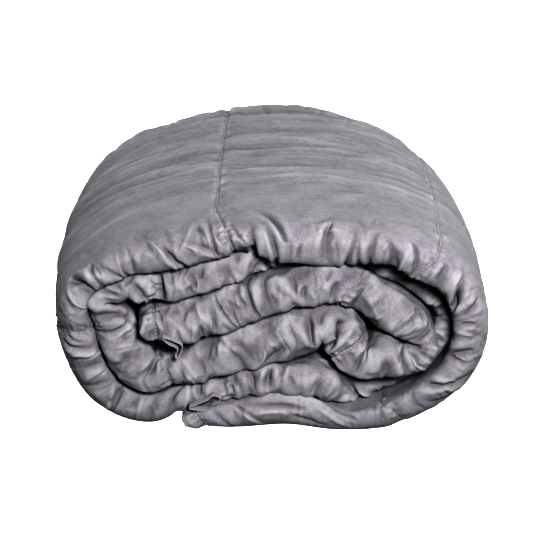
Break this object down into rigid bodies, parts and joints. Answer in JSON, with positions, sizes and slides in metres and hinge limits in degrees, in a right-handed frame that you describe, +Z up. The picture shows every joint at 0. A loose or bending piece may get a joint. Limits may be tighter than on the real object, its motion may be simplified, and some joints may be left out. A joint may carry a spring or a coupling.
{
  "type": "weighted blanket",
  "caption": "Grey quilted weighted blanket, folded lengthwise and rolled up, lying on its side with its wound folds and ribbon loops at the front.",
  "frame": {"origin": "under the middle of the roll, on the surface that it rests on", "axes": "+Z up, -Y towards the front end that shows the wound folds, +X to the right seen from there"},
  "size_m": [0.3818, 0.382, 0.1895],
  "materials": {
    "cotton": "matt woven cotton, quilted",
    "ribbon": "matt woven ribbon"
  },
  "bodies": {
    "root": {"blanket": "cotton", "tab_outer": "ribbon", "tab_inner": "ribbon"}
  },
  "joints": []
}
